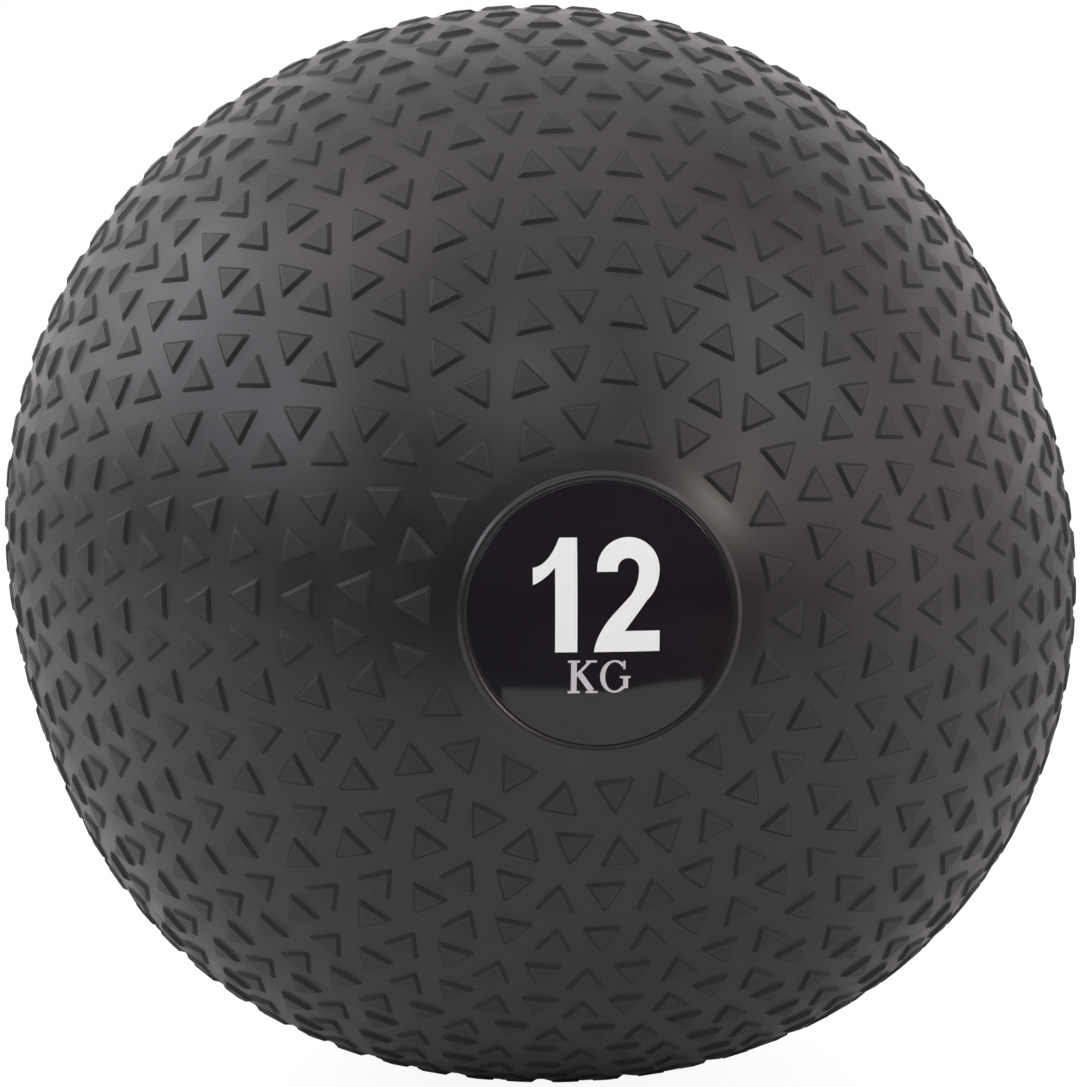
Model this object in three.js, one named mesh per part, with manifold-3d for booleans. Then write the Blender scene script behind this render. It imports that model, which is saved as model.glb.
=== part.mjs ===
// Slam-type medicine ball: a thick moulded shell with a shallow tread, a glossy disc let into each
// pole, a filler plug under the rear disc, the printed weight on the front disc and loose sand inside.
// Millimetres, +Z up, origin at the ball's centre. The weight disc looks towards -Y.

import * as THREE from 'three';
import { mergeVertices } from 'three/addons/utils/BufferGeometryUtils.js';
import Module from 'manifold-3d';

const wasm = await Module();
wasm.setup();

// Ball
const BALL_DIAMETER = 280;      // over the tops of the tread pads
const TREAD_HEIGHT = 1.2;       // pads stand this far above the strips between them
const SHELL_WALL = 9;           // from the strips to the cavity
const MARGIN_WIDTH = 6;         // smooth ring between a disc's lip and the first row of pads
const TREAD_RAMP = 1.2;         // width of the slope from the margin up to the pads

// Discs at the poles and the recesses that hold them
const DISC_DIAMETER = 60;
const DISC_THICKNESS = 2;
const DISC_EDGE_ROUND = 0.6;
const FIT_GAP = 0.3;            // clearance round and under every piece let into the shell
const LIP_WIDTH = 2.4;          // rounded bead round each recess
const LIP_HEIGHT = 0.5;         // above the margin

// Filler port under the rear disc
const PORT_BORE = 22;
const PLUG_HEAD_DIAMETER = 32;
const PLUG_HEAD_THICKNESS = 2;

// Sand
const FILL_CLEARANCE = 1.5;     // between the sand and the cavity
const FILL_LEVEL = 20;          // sand surface above the ball's centre

// Print on the weight disc
const PRINT_THICKNESS = 0.3;
const DIGIT_HEIGHT = 26;
const DIGIT_STROKE = 5;
const DIGITS_MIDDLE = 4.7;      // middle height of the digits above the disc's centre
const DIGITS_SHIFT = -1.3;      // middle of the pair along X
const DIGIT_SPACE = 4.5;
const LETTER_HEIGHT = 7.6;
const LETTER_DROP = 1.9;        // from the foot of the digits to the tops of the letters
const LETTER_SPACE = 0.5;
const HAIRLINE = 0.5;           // thin strokes and serifs of the letters

// Resolution of the round faces
const TURNS = 40;
const OUTER_STEP = 7.5;         // degrees between rings of the outer face
const INNER_STEP = 10;          // degrees between rings of the cavity and the sand

// Sizes that follow
const TREAD_RADIUS = BALL_DIAMETER / 2;
const BASE_RADIUS = TREAD_RADIUS - TREAD_HEIGHT;
const CAVITY_RADIUS = BASE_RADIUS - SHELL_WALL;
const DISC_RADIUS = DISC_DIAMETER / 2;
const DISC_BACK_RADIUS = BASE_RADIUS - DISC_THICKNESS;
const RECESS_RADIUS = DISC_RADIUS + FIT_GAP;
const RECESS_FLOOR = DISC_BACK_RADIUS - FIT_GAP;
const LIP_RADIUS = RECESS_RADIUS + LIP_WIDTH;
const PAD_START = LIP_RADIUS + MARGIN_WIDTH;

const FRONT = -1;
const REAR = 1;

// Height over the equator plane of a sphere of this radius, at this distance from the axis.
function sphereHeight(radius, distance) {
  return Math.sqrt(radius * radius - distance * distance);
}

// Points along a sphere of the given radius between two angles from the +Y pole, ends included.
// The number of steps is even, so an arc from pole to pole has a ring on the equator.
function sphereArc(radius, fromAngle, toAngle, stepDegrees) {
  const step = THREE.MathUtils.degToRad(stepDegrees);
  const steps = 2 * Math.max(1, Math.round(Math.abs(toAngle - fromAngle) / step / 2));
  const points = [];
  for (let i = 0; i <= steps; i += 1) {
    const angle = THREE.MathUtils.lerp(fromAngle, toAngle, i / steps);
    points.push(new THREE.Vector2(radius * Math.sin(angle), radius * Math.cos(angle)));
  }
  return points;
}

// A body of revolution about Y. The profile runs so that its faces point out.
function turned(profile) {
  const axisTolerance = 1e-6;
  const clean = profile.map((p) => new THREE.Vector2(p.x < axisTolerance ? 0 : p.x, p.y));
  return new THREE.LatheGeometry(clean, TURNS);
}

function finished(name, geometry, colour, roughness, metalness = 0) {
  const material = new THREE.MeshStandardMaterial({ color: colour, roughness, metalness });
  const mesh = new THREE.Mesh(geometry, material);
  mesh.name = name;
  return mesh;
}

// The recess at one pole: floor, side wall, bead and margin, from the axis or the port outwards.
function recessProfile(floorStart) {
  const points = [];
  points.push(new THREE.Vector2(floorStart, sphereHeight(RECESS_FLOOR, floorStart)));
  points.push(new THREE.Vector2(RECESS_RADIUS, sphereHeight(RECESS_FLOOR, RECESS_RADIUS)));
  const beadSteps = 5;
  for (let i = 0; i <= beadSteps; i += 1) {
    const share = i / beadSteps;
    const distance = RECESS_RADIUS + LIP_WIDTH * share;
    const rise = LIP_HEIGHT * Math.sin(Math.PI * share);
    points.push(new THREE.Vector2(distance, sphereHeight(BASE_RADIUS, distance) + rise));
  }
  points.push(new THREE.Vector2(PAD_START, sphereHeight(BASE_RADIUS, PAD_START)));
  return points;
}

function outerShell() {
  const padEdge = PAD_START + TREAD_RAMP;
  const padAngle = Math.asin(padEdge / TREAD_RADIUS);
  const boreRadius = PORT_BORE / 2;
  const seatRadius = PLUG_HEAD_DIAMETER / 2 + FIT_GAP;
  const seatHeight = sphereHeight(RECESS_FLOOR, seatRadius) - PLUG_HEAD_THICKNESS - FIT_GAP;
  const boreAngle = Math.asin(boreRadius / CAVITY_RADIUS);

  const front = recessProfile(0).map((p) => new THREE.Vector2(p.x, -p.y));
  const tread = sphereArc(TREAD_RADIUS, Math.PI - padAngle, padAngle, OUTER_STEP);
  const rear = recessProfile(seatRadius).reverse();
  const seat = [new THREE.Vector2(seatRadius, seatHeight), new THREE.Vector2(boreRadius, seatHeight)];
  const cavity = sphereArc(CAVITY_RADIUS, boreAngle, Math.PI, INNER_STEP);
  return turned([...front, ...tread, ...rear, ...seat, ...cavity]);
}

// A domed disc that fills a recess; side is FRONT or REAR.
function poleDisc(side) {
  const flatEdge = DISC_RADIUS - DISC_EDGE_ROUND;
  const ringStep = 7.5;
  const rings = Math.round(flatEdge / ringStep);
  const profile = [];
  for (let i = 0; i <= rings; i += 1) {
    const distance = flatEdge * i / rings;
    profile.push(new THREE.Vector2(distance, sphereHeight(BASE_RADIUS, distance)));
  }
  const roundSteps = 3;
  const roundCentre = sphereHeight(BASE_RADIUS, flatEdge) - DISC_EDGE_ROUND;
  for (let i = 1; i <= roundSteps; i += 1) {
    const angle = (Math.PI / 2) * (1 - i / roundSteps);
    const distance = flatEdge + DISC_EDGE_ROUND * Math.cos(angle);
    profile.push(new THREE.Vector2(distance, roundCentre + DISC_EDGE_ROUND * Math.sin(angle)));
  }
  for (let i = rings; i >= 0; i -= 1) {
    const distance = DISC_RADIUS * i / rings;
    profile.push(new THREE.Vector2(distance, sphereHeight(DISC_BACK_RADIUS, distance)));
  }
  if (side === FRONT) {
    return turned(profile.map((p) => new THREE.Vector2(p.x, -p.y)));
  }
  return turned(profile.reverse());
}

// Headed plug, pushed into the port from outside; its inner end stops short of the cavity.
function fillerPlug() {
  const headRadius = PLUG_HEAD_DIAMETER / 2;
  const stemRadius = PORT_BORE / 2 - FIT_GAP;
  const headTop = sphereHeight(RECESS_FLOOR, headRadius + FIT_GAP) - FIT_GAP;
  const headUnder = headTop - PLUG_HEAD_THICKNESS + FIT_GAP;
  const stemEnd = CAVITY_RADIUS + FIT_GAP;
  return turned([
    new THREE.Vector2(0, stemEnd),
    new THREE.Vector2(stemRadius, stemEnd),
    new THREE.Vector2(stemRadius, headUnder),
    new THREE.Vector2(headRadius, headUnder),
    new THREE.Vector2(headRadius, headTop),
    new THREE.Vector2(0, headTop),
  ]);
}

// The loose sand at rest: a ball of sand cut level, turned about Z.
function sandFill() {
  const radius = CAVITY_RADIUS - FILL_CLEARANCE;
  const levelAngle = Math.acos(FILL_LEVEL / radius);
  const bowl = sphereArc(radius, Math.PI, levelAngle, INNER_STEP);
  const geometry = turned([...bowl, new THREE.Vector2(0, FILL_LEVEL)]);
  return geometry.rotateX(Math.PI / 2);
}

function solidOf(geometry) {
  const bare = geometry.clone();
  bare.deleteAttribute('normal');
  bare.deleteAttribute('uv');
  const merged = mergeVertices(bare, 1e-5);
  return new wasm.Manifold(new wasm.Mesh({
    numProp: 3,
    vertProperties: new Float32Array(merged.attributes.position.array),
    triVerts: new Uint32Array(merged.index.array),
  }));
}

function geometryOf(solid) {
  const mesh = solid.getMesh();
  const geometry = new THREE.BufferGeometry();
  geometry.setAttribute('position', new THREE.BufferAttribute(new Float32Array(mesh.vertProperties), 3));
  geometry.setIndex(new THREE.BufferAttribute(new Uint32Array(mesh.triVerts), 1));
  geometry.computeVertexNormals();
  return geometry;
}

// The thin domed layer that all print is cut from, just clear of the weight disc.
function printLayer() {
  const under = BASE_RADIUS + FIT_GAP;
  const over = under + PRINT_THICKNESS;
  const reach = DISC_RADIUS - 2;
  const rings = 6;
  const outer = [];
  const inner = [];
  for (let i = 0; i <= rings; i += 1) {
    const distance = reach * i / rings;
    outer.push(new THREE.Vector2(distance, -sphereHeight(over, distance)));
    inner.push(new THREE.Vector2(distance, -sphereHeight(under, distance)));
  }
  return solidOf(turned([...outer, ...inner.reverse()]));
}

// Prisms of the flat outlines, stood on the disc so that they reach through the print layer.
function printed(shapes) {
  const reach = 12;
  const outlines = shapes.map((shape) => {
    const prism = new THREE.ExtrudeGeometry(shape, { depth: reach, bevelEnabled: false, curveSegments: 10 });
    prism.rotateX(Math.PI / 2);
    prism.translate(0, reach / 2 - BASE_RADIUS, 0);
    return solidOf(prism);
  });
  const outline = outlines.reduce((joined, next) => joined.add(next));
  return geometryOf(outline.intersect(printLayer()));
}

// A bar with square ends between two points.
function bar(x1, y1, x2, y2, width) {
  const along = new THREE.Vector2(x2 - x1, y2 - y1).normalize();
  const sideX = -along.y * width / 2;
  const sideY = along.x * width / 2;
  const shape = new THREE.Shape();
  shape.moveTo(x1 + sideX, y1 + sideY);
  shape.lineTo(x1 - sideX, y1 - sideY);
  shape.lineTo(x2 - sideX, y2 - sideY);
  shape.lineTo(x2 + sideX, y2 + sideY);
  shape.closePath();
  return shape;
}

// Plain bold numeral one: a stem with a curved flag.
function digitOne(right, bottom) {
  const stroke = DIGIT_STROKE;
  const left = right - stroke;
  const top = bottom + DIGIT_HEIGHT;
  const flagReach = stroke;
  const flagTop = top - 0.26 * DIGIT_HEIGHT;
  const flagDepth = 0.15 * DIGIT_HEIGHT;
  const shape = new THREE.Shape();
  shape.moveTo(right, bottom);
  shape.lineTo(right, top);
  shape.lineTo(left + 0.2 * stroke, top);
  shape.quadraticCurveTo(left - 0.3 * flagReach, flagTop + 0.4, left - flagReach, flagTop);
  shape.lineTo(left - flagReach, flagTop - flagDepth);
  shape.quadraticCurveTo(left - 0.45 * flagReach, flagTop - 0.7 * flagDepth, left, flagTop + 0.1);
  shape.lineTo(left, bottom);
  shape.closePath();
  return printed([shape]);
}

// Plain bold numeral two: a round bowl, a sloping neck and a flat foot.
function digitTwo(left, bottom) {
  const stroke = DIGIT_STROKE;
  const bowl = 0.275 * DIGIT_HEIGHT;
  const top = bottom + DIGIT_HEIGHT;
  const centreX = left + bowl;
  const centreY = top - bowl;
  const eye = bowl - stroke;
  const footTop = bottom + stroke;
  const hookEnd = centreY - 0.6;
  const shape = new THREE.Shape();
  shape.moveTo(centreX - bowl, hookEnd);
  shape.lineTo(centreX - bowl, centreY);
  shape.absarc(centreX, centreY, bowl, Math.PI, 0, true);
  shape.quadraticCurveTo(centreX + bowl, centreY - 0.62 * bowl, centreX + 0.6 * bowl, centreY - bowl);
  shape.lineTo(centreX - 0.12 * bowl, footTop);
  shape.lineTo(centreX + bowl, footTop);
  shape.lineTo(centreX + bowl, bottom);
  shape.lineTo(centreX - 1.1 * bowl, bottom);
  shape.quadraticCurveTo(centreX - 1.02 * bowl, footTop - 0.5, centreX - 0.5 * bowl, footTop + 0.52 * bowl);
  shape.lineTo(centreX + 0.06 * bowl, centreY - 0.86 * bowl);
  shape.quadraticCurveTo(centreX + eye, centreY - 0.5 * bowl, centreX + eye, centreY);
  shape.absarc(centreX, centreY, eye, 0, Math.PI, false);
  shape.lineTo(centreX - eye, hookEnd);
  shape.closePath();
  return printed([shape]);
}

// Letter K with short flat serifs: thick stem and leg, thin arm.
function letterK(left, bottom) {
  const top = bottom + LETTER_HEIGHT;
  const thick = 0.17 * LETTER_HEIGHT;
  const serif = 0.36 * LETTER_HEIGHT;
  const half = HAIRLINE / 2;
  const stemX = left + serif / 2;
  const farX = left + 0.72 * LETTER_HEIGHT;
  const waist = bottom + 0.47 * LETTER_HEIGHT;
  const armX = farX - 0.4;
  const forkX = THREE.MathUtils.lerp(stemX, armX, 0.3);
  const forkY = THREE.MathUtils.lerp(waist, top - half, 0.3);
  return printed([
    bar(stemX, bottom, stemX, top, thick),
    bar(stemX - serif / 2, top - half, stemX + serif / 2, top - half, HAIRLINE),
    bar(stemX - serif / 2, bottom + half, stemX + serif / 2, bottom + half, HAIRLINE),
    bar(stemX, waist, armX, top - half, HAIRLINE * 1.2),
    bar(farX - serif / 2, top - half, farX + serif / 2 - 0.3, top - half, HAIRLINE),
    bar(forkX, forkY, farX, bottom + HAIRLINE, thick),
    bar(farX - serif / 2, bottom + half, farX + serif / 2, bottom + half, HAIRLINE),
  ]);
}

// Letter G: an open ring, thick at its left side, with a short post and flat serifs.
function letterG(left, bottom) {
  const outerX = 0.44 * LETTER_HEIGHT;
  const outerY = LETTER_HEIGHT / 2;
  const innerX = outerX - 0.15 * LETTER_HEIGHT;
  const innerY = outerY - HAIRLINE * 0.9;
  const centreX = left + outerX;
  const centreY = bottom + outerY;
  const open = Math.PI / 4.2;
  const ring = new THREE.Shape();
  ring.absellipse(centreX, centreY, outerX, outerY, open, 2 * Math.PI - open, false, 0);
  ring.absellipse(centreX, centreY, innerX, innerY, 2 * Math.PI - open, open, true, 0);
  ring.closePath();
  const post = 0.15 * LETTER_HEIGHT;
  const postX = centreX + outerX * 0.76;
  const postTop = centreY - 0.2;
  const tipX = centreX + outerX * Math.cos(open) - HAIRLINE / 2;
  return printed([
    ring,
    bar(postX, bottom + 0.13 * LETTER_HEIGHT, postX, postTop, post),
    bar(postX - 1.3, postTop, postX + 1.1, postTop, HAIRLINE),
    bar(tipX, centreY + 0.22 * LETTER_HEIGHT, tipX, bottom + LETTER_HEIGHT - 0.2, HAIRLINE),
  ]);
}

function weightPrint() {
  const print = new THREE.Group();
  const digitsBottom = DIGITS_MIDDLE - DIGIT_HEIGHT / 2;
  const lettersBottom = digitsBottom - LETTER_DROP - LETTER_HEIGHT;
  const lettersLeft = -1.01 * LETTER_HEIGHT;
  const oneRight = DIGITS_SHIFT - DIGIT_SPACE / 2 - 2.05;
  const twoLeft = oneRight + DIGIT_SPACE;
  const gLeft = lettersLeft + 0.9 * LETTER_HEIGHT + LETTER_SPACE;
  print.add(finished('digit_one', digitOne(oneRight, digitsBottom), '#e9e9e8', 0.5));
  print.add(finished('digit_two', digitTwo(twoLeft, digitsBottom), '#e9e9e8', 0.5));
  print.add(finished('letter_k', letterK(lettersLeft, lettersBottom), '#c9c7ce', 0.5));
  print.add(finished('letter_g', letterG(gLeft, lettersBottom), '#c9c7ce', 0.5));
  return print;
}

const ball = new THREE.Group();
ball.name = 'medicine_ball';
ball.add(finished('outer_shell', outerShell(), '#47464a', 0.55));
ball.add(finished('weight_disc', poleDisc(FRONT), '#1b1a1f', 0.08));
ball.add(finished('blank_disc', poleDisc(REAR), '#1b1a1f', 0.08));
ball.add(finished('filler_plug', fillerPlug(), '#2b2b2c', 0.7));
ball.add(finished('sand_fill', sandFill(), '#b59a72', 0.95));
ball.add(weightPrint());

export default ball;
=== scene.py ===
"""A sand-filled slam ball: a soft moulded shell with rows of raised triangular pads, a gloss disc let into
each pole, the printed weight on the front disc, a rubber plug behind the rear one and the loose sand."""

import math

import bmesh
import bpy
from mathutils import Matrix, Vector


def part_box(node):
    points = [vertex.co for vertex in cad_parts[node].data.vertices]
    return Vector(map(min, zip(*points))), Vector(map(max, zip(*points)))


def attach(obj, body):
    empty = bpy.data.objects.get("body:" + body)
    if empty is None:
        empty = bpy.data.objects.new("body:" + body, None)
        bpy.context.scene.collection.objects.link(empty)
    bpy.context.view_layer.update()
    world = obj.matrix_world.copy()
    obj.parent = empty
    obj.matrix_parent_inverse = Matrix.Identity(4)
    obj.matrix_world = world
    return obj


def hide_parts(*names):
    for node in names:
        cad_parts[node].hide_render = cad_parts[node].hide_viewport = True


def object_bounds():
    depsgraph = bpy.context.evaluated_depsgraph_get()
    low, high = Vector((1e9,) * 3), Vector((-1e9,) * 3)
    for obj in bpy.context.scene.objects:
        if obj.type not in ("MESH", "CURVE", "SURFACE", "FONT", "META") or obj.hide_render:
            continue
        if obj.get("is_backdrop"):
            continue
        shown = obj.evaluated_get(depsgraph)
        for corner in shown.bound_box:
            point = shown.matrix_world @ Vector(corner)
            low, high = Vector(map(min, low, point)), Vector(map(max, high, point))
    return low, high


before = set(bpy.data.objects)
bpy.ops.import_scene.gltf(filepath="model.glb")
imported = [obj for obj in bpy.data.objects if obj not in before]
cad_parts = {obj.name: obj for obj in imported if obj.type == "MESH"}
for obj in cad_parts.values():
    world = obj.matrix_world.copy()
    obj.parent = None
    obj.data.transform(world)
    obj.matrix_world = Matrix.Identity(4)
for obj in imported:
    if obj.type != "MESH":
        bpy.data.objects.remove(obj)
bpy.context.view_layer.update()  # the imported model: bodies "ball" and "fill", nine nodes, the joint fill_roll

MM = 0.001

# Ball, from the frame
TREAD_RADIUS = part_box("outer_shell")[1].x
DISC_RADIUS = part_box("weight_disc")[1].x
DIGIT_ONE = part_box("digit_one")
DIGIT_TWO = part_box("digit_two")
LETTER_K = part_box("letter_k")
LETTER_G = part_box("letter_g")

# Shell section
PAD_HEIGHT = 0.8 * MM           # over the strips between the pads
MARGIN_DEPTH = 1.2 * MM         # of the smooth margins beside the discs, under the tops of the pads
SHELL_WALL = 9 * MM
FIT_GAP = 0.3 * MM
DISC_THICKNESS = 2 * MM
LIP_WIDTH = 2.4 * MM            # of the bead round a disc
LIP_HEIGHT = 0.5 * MM
LIP_FOOT = 0.3 * MM             # the bead starts this far down the recess's side wall
LIP_SHAPE = 1.6                 # power of the bead's sine; over 1 its feet run out flat
PORT_RADIUS = 11 * MM
PLUG_HEAD_RADIUS = 16 * MM
PLUG_HEAD_THICKNESS = 2 * MM
STRIP_RADIUS = TREAD_RADIUS - PAD_HEIGHT
BASE_RADIUS = TREAD_RADIUS - MARGIN_DEPTH
CAVITY_RADIUS = BASE_RADIUS - SHELL_WALL
RECESS_RADIUS = DISC_RADIUS + FIT_GAP
RECESS_FLOOR = BASE_RADIUS - DISC_THICKNESS - FIT_GAP
LIP_RADIUS = RECESS_RADIUS + LIP_WIDTH

# Tread: 13 rows of pads from the first one to the equator, the same on both halves
FIRST_ROW = math.radians(15.2)
ROW_PAIRS = [11, 16, 19, 23, 26, 30, 32, 36, 36, 38, 38, 40, 40]
ROW_TURNS = [13.3, 16.9, 7.3, 6.1, 0.3, 0.3, 2.8, 6.3, 7.4, 3.9, 5.9, 5.0, 0.0]
ROW_PITCH = (math.pi / 2 - FIRST_ROW) / len(ROW_PAIRS)
SEAM_SHARE = 0.06               # of a row, left on each side for the joints between rows
MARGIN_SHARE = 0.1              # of a row, between the margin's end and the first row
CELL_WIDE = 0.812               # of half a pitch, from a pad's middle to its cell's corners by the base
PAD_BASE = 10.0 * MM
PAD_LENGTH = 9.3 * MM
PAD_CORNER = 0.5 * MM
PAD_INSET = 2.4 * MM            # from the row's edge to the pad
WALL_RUN = 0.75 * MM            # width of a pad's sloping wall, seen from above
EDGE_ROUND = 0.2 * MM

# The filled ball is a little out of round: broad bulges and flats of the equator, each with the turn of
# its middle in degrees, its height and its width in degrees
BULGES = [(27, -3.5 * MM, 22), (95, 1.2 * MM, 28), (143, 1.5 * MM, 22), (195, -2.4 * MM, 15),
          (232, 1.3 * MM, 16), (270, -1.5 * MM, 18), (318, 4.4 * MM, 24)]
BULGE_START = math.radians(18)  # from the pole; nearer to it the ball stays round
BULGE_FULL = math.radians(65)

SEGMENTS = 96                   # round the smooth parts of the shell
LIP_STEPS = 14                  # across a bead
MARGIN_BANDS = 3                # of faces, between a bead and the first row of pads
CAVITY_STEPS = 36
FLOOR_START = 2 * MM            # first ring of the front recess's floor; a cap closes it

# Print
HAIRLINE = 0.5 * MM             # thin strokes and serifs of the letters
INK_HEIGHT = 0.06 * MM
INK_DEPTH = 0.03 * MM           # the ink reaches this far under the disc's gloss


def sphere_height(radius, distance):
    """Height over the equator plane of a sphere, at this distance from the axis."""
    return math.sqrt(radius * radius - distance * distance)


def linear(hex_colour):
    """An sRGB hex colour as linear RGBA."""
    channels = [int(hex_colour[i:i + 2], 16) / 255 for i in (1, 3, 5)]
    return [c / 12.92 if c <= 0.04045 else ((c + 0.055) / 1.055) ** 2.4 for c in channels] + [1.0]


def add(tree, kind, settings=None, inputs=None):
    """Adds a node with its settings; an input is a value or another node's output."""
    node = tree.nodes.new(kind)
    for name, value in (settings or {}).items():
        setattr(node, name, value)
    for name, value in (inputs or {}).items():
        socket = node.inputs[name]
        if isinstance(value, bpy.types.NodeSocket):
            tree.links.new(value, socket)
        else:
            socket.default_value = value
    return node


def object_of(name, points, faces):
    """A mesh object from points and faces."""
    mesh = bpy.data.meshes.new(name)
    mesh.from_pydata(points, [], faces)
    mesh.validate()
    made = bpy.data.objects.new(name, mesh)
    bpy.context.scene.collection.objects.link(made)
    return made


def face_outwards(mesh):
    """Points every face of a closed mesh outwards."""
    shape = bmesh.new()
    shape.from_mesh(mesh)
    bmesh.ops.recalc_face_normals(shape, faces=shape.faces)
    shape.to_mesh(mesh)
    shape.free()


def plain_mesh(made):
    """Turns the evaluated object into a plain mesh and removes its modifiers."""
    graph = bpy.context.evaluated_depsgraph_get()
    result = bpy.data.meshes.new_from_object(made.evaluated_get(graph))
    made.modifiers.clear()
    old = made.data
    made.data = result
    bpy.data.meshes.remove(old)
    result.name = made.name
    return result


# ---------------------------------------------------------------- shell net

class Net:
    """Points and faces about the pole axis, with the numbers of the pads' faces and of all faces that
    lie on the ball itself."""

    def __init__(self):
        self.points = []
        self.faces = []
        self.pads = []
        self.tread = []

    def point(self, angle, turn, radius):
        """Adds the point at this angle from the front pole and this turn from +X towards +Z."""
        across = radius * math.sin(angle)
        self.points.append((across * math.cos(turn), -radius * math.cos(angle), across * math.sin(turn)))
        return len(self.points) - 1

    def ring(self, angle, radius, turns):
        """A closed ring: a list of (turn, point)."""
        return [(turn, self.point(angle, turn, radius)) for turn in turns]

    def bridge(self, first, second):
        """Triangles between two closed rings; each step goes on along the ring that is behind."""
        full = 2 * math.pi
        tie = 1e-6              # puts the second ring's point after the first one's at the same turn
        start = first[0][0]
        first = sorted(((turn - start) % full, p) for turn, p in first)
        second = sorted(((turn - start + tie) % full, p) for turn, p in second)
        first.append((full, first[0][1]))
        second.append((second[0][0] + full, second[0][1]))
        i = j = 0
        while i < len(first) - 1 or j < len(second) - 1:
            ahead = first[i + 1][0] if i < len(first) - 1 else math.inf
            beside = second[j + 1][0] if j < len(second) - 1 else math.inf
            if ahead <= beside:
                self.faces.append((first[i][1], first[i + 1][1], second[j][1]))
                i += 1
            else:
                self.faces.append((first[i][1], second[j + 1][1], second[j][1]))
                j += 1

    def cap(self, ring, radius, angle):
        """Closes a ring with a point on the axis."""
        pole = self.point(angle, 0, radius)
        for (_, a), (_, b) in zip(ring, ring[1:] + ring[:1]):
            self.faces.append((a, b, pole))


def even_turns(count):
    """Turns of a ring's points, evenly spaced from +X."""
    return [2 * math.pi * i / count for i in range(count)]


def lathe_rings(net, profile, side):
    """Rings of quads through (distance, height) points; side is -1 for the front pole, 1 for the rear."""
    rings = []
    for distance, height in profile:
        radius = math.hypot(distance, height)
        rings.append(net.ring(math.atan2(distance, -side * height), radius, even_turns(SEGMENTS)))
    for first, second in zip(rings, rings[1:]):
        quads(net, first, second)
    return rings


def quads(net, first, second):
    """Four-sided faces between two rings with equally many points."""
    for i in range(len(first)):
        j = (i + 1) % len(first)
        net.faces.append((first[i][1], first[j][1], second[j][1], second[i][1]))


def pad_outline():
    """The nine points of a pad's foot: a triangle with its base at the bottom and rounded corners."""
    half = PAD_BASE / 2
    corners = [Vector((-half, 0)), Vector((half, 0)), Vector((0, PAD_LENGTH))]
    outline = []
    for i, corner in enumerate(corners):
        before = (corners[i - 1] - corner).normalized()
        after = (corners[(i + 1) % 3] - corner).normalized()
        cut = PAD_CORNER / math.tan(before.angle(after) / 2)
        depth = PAD_CORNER / math.sin(before.angle(after) / 2) - PAD_CORNER
        outline.append(corner + before * cut)
        outline.append(corner + (before + after).normalized() * depth)
        outline.append(corner + after * cut)
    return outline


def tread_cell(net, side, row_angle, middle, near, far, outward):
    """One pad with the strips round it. near and far are the cell's two points on the rings beside the
    pad's base and its tip; outward is true where the tip points away from the pole."""
    pad = []
    for spot in pad_outline():
        reach = PAD_INSET + (spot.y if outward else PAD_LENGTH - spot.y)
        angle = row_angle + reach / STRIP_RADIUS
        turn = middle + spot.x / (STRIP_RADIUS * math.sin(angle))
        if side > 0:
            angle = math.pi - angle
        pad.append(net.point(angle, turn, STRIP_RADIUS))
    a0, a1, a2, b0, b1, b2, c0, c1, c2 = pad
    net.pads.append(len(net.faces))
    net.faces.append(pad)
    net.faces.append((near[0], near[1], b1, b0, a2, a1))
    net.faces.append((near[1], far[1], c1, c0, b2, b1))
    net.faces.append((far[1], far[0], c1))
    net.faces.append((far[0], near[0], a1, a0, c2, c1))


def tread_row(net, side, row):
    """A row of pads that point outwards and inwards by turns. Returns its inner and outer ring."""
    pairs = ROW_PAIRS[row]
    half_pitch = math.pi / pairs
    row_angle = FIRST_ROW + row * ROW_PITCH
    first = math.radians(ROW_TURNS[row])
    seam = SEAM_SHARE * ROW_PITCH
    wide = CELL_WIDE * half_pitch
    narrow = half_pitch - wide
    centres = [first + 2 * half_pitch * i for i in range(pairs)]
    inner_turns = [c + s * wide for c in centres for s in (-1, 1)]
    outer_turns = [c + s * narrow for c in centres for s in (-1, 1)]
    inner_angle = row_angle + seam
    outer_angle = row_angle + ROW_PITCH - seam
    if side > 0:
        inner_angle, outer_angle = math.pi - inner_angle, math.pi - outer_angle
    inner = net.ring(inner_angle, STRIP_RADIUS, inner_turns)
    outer = net.ring(outer_angle, STRIP_RADIUS, outer_turns)
    for i, centre in enumerate(centres):
        a, b = 2 * i, 2 * i + 1
        c = (2 * i + 2) % len(inner)
        tread_cell(net, side, row_angle, centre,
                   (inner[a][1], inner[b][1]), (outer[a][1], outer[b][1]), True)
        tread_cell(net, side, row_angle, centre + half_pitch,
                   (outer[b][1], outer[c][1]), (inner[b][1], inner[c][1]), False)
    return inner, outer


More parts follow.
